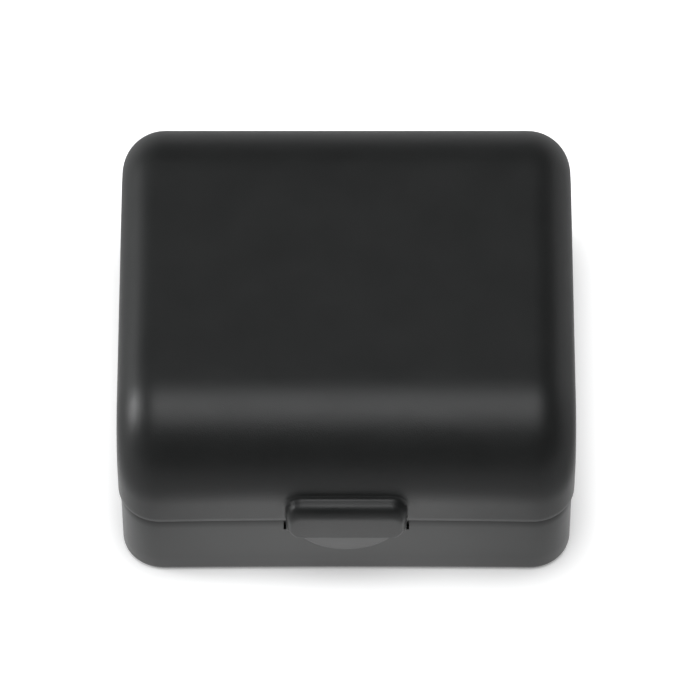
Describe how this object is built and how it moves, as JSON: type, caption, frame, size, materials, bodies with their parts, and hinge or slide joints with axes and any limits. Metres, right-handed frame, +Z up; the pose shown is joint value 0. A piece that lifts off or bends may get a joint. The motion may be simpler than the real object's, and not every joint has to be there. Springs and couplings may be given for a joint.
{
  "type": "watercolor pan set",
  "caption": "Pocket watercolour box: snap-shut domed lid hinged at the back, rack of half pans, fold-out mixing palette, travel brush, sponge and water flask inside.",
  "frame": {"origin": "on the table, under the middle of the closed case", "axes": "+X to the right, +Y to the back where the lid is hinged, +Z up; the latch is at the front, towards -Y"},
  "size_m": [0.088, 0.0878, 0.043],
  "materials": {
    "case_plastic": "fine spark-eroded texture, moulded black polypropylene",
    "rack_plastic": "fine matt black moulding",
    "palette_plastic": "glossy white moulding",
    "pan_plastic": "glossy white moulding",
    "pin_steel": "drawn wire",
    "handle_lacquer": "black lacquered wood look in gloss plastic",
    "ferrule_nickel": "nickel-plated seamless tube",
    "brush_hair": "brown synthetic sable hair",
    "sponge": "open-pored cellulose sponge",
    "flask_plastic": "clear blow-moulded plastic",
    "cap_plastic": "ribbed black screw cap",
    "liner_foam": "white foam sealing disc",
    "paint_lemon_yellow": "cast watercolour cake with a soft sheen",
    "paint_golden_yellow": "cast watercolour cake with a soft sheen",
    "paint_orange": "cast watercolour cake with a soft sheen",
    "paint_scarlet": "cast watercolour cake with a soft sheen",
    "paint_crimson": "cast watercolour cake with a soft sheen",
    "paint_violet": "cast watercolour cake with a soft sheen",
    "paint_ultramarine": "cast watercolour cake with a soft sheen",
    "paint_sky_blue": "cast watercolour cake with a soft sheen",
    "paint_emerald": "cast watercolour cake with a soft sheen",
    "paint_olive_green": "cast watercolour cake with a soft sheen",
    "paint_yellow_ochre": "cast watercolour cake with a soft sheen",
    "paint_burnt_sienna": "cast watercolour cake with a soft sheen"
  },
  "bodies": {
    "base": {"base_shell": "case_plastic", "hinge_pin_left": "pin_steel", "hinge_pin_right": "pin_steel", "pan_rack": "rack_plastic", "brush_tray": "rack_plastic", "palette_rod": "pin_steel", "brush_handle": "handle_lacquer", "brush_ferrule": "ferrule_nickel", "brush_hair": "brush_hair", "sponge": "sponge", "cup_lemon_yellow": "pan_plastic", "cup_golden_yellow": "pan_plastic", "cup_orange": "pan_plastic", "cup_scarlet": "pan_plastic", "cup_crimson": "pan_plastic", "cup_violet": "pan_plastic", "cup_ultramarine": "pan_plastic", "cup_sky_blue": "pan_plastic", "cup_emerald": "pan_plastic", "cup_olive_green": "pan_plastic", "cup_yellow_ochre": "pan_plastic", "cup_burnt_sienna": "pan_plastic", "paint_lemon_yellow": "paint_lemon_yellow", "paint_golden_yellow": "paint_golden_yellow", "paint_orange": "paint_orange", "paint_scarlet": "paint_scarlet", "paint_crimson": "paint_crimson", "paint_violet": "paint_violet", "paint_ultramarine": "paint_ultramarine", "paint_sky_blue": "paint_sky_blue", "paint_emerald": "paint_emerald", "paint_olive_green": "paint_olive_green", "paint_yellow_ochre": "paint_yellow_ochre", "paint_burnt_sienna": "paint_burnt_sienna"},
    "lid": {"lid_shell": "case_plastic", "flask_clips": "case_plastic", "flask_body": "flask_plastic"},
    "palette": {"palette_leaf": "palette_plastic"},
    "flask_cap": {"flask_cap": "cap_plastic", "cap_liner": "liner_foam"}
  },
  "joints": [
    {"name": "lid_hinge", "type": "hinge", "parent": "base", "child": "lid", "pos_m": [0, 0.0417, 0.0185], "axis": [-1, 0, 0], "range_deg": [0, 155]},
    {"name": "palette_fold", "type": "hinge", "parent": "base", "child": "palette", "pos_m": [0, -0.0356, 0.01795], "axis": [1, 0, 0], "range_deg": [0, 180]},
    {"name": "cap_turn", "type": "hinge", "parent": "lid", "child": "flask_cap", "pos_m": [0.0205, -0.0284, 0.0304], "axis": [1, 0, 0], "range_deg": [0, 540]}
  ],
  "couplings": [
    {"joint": "palette_fold", "follows": "lid_hinge", "ratio": 1.161}
  ]
}
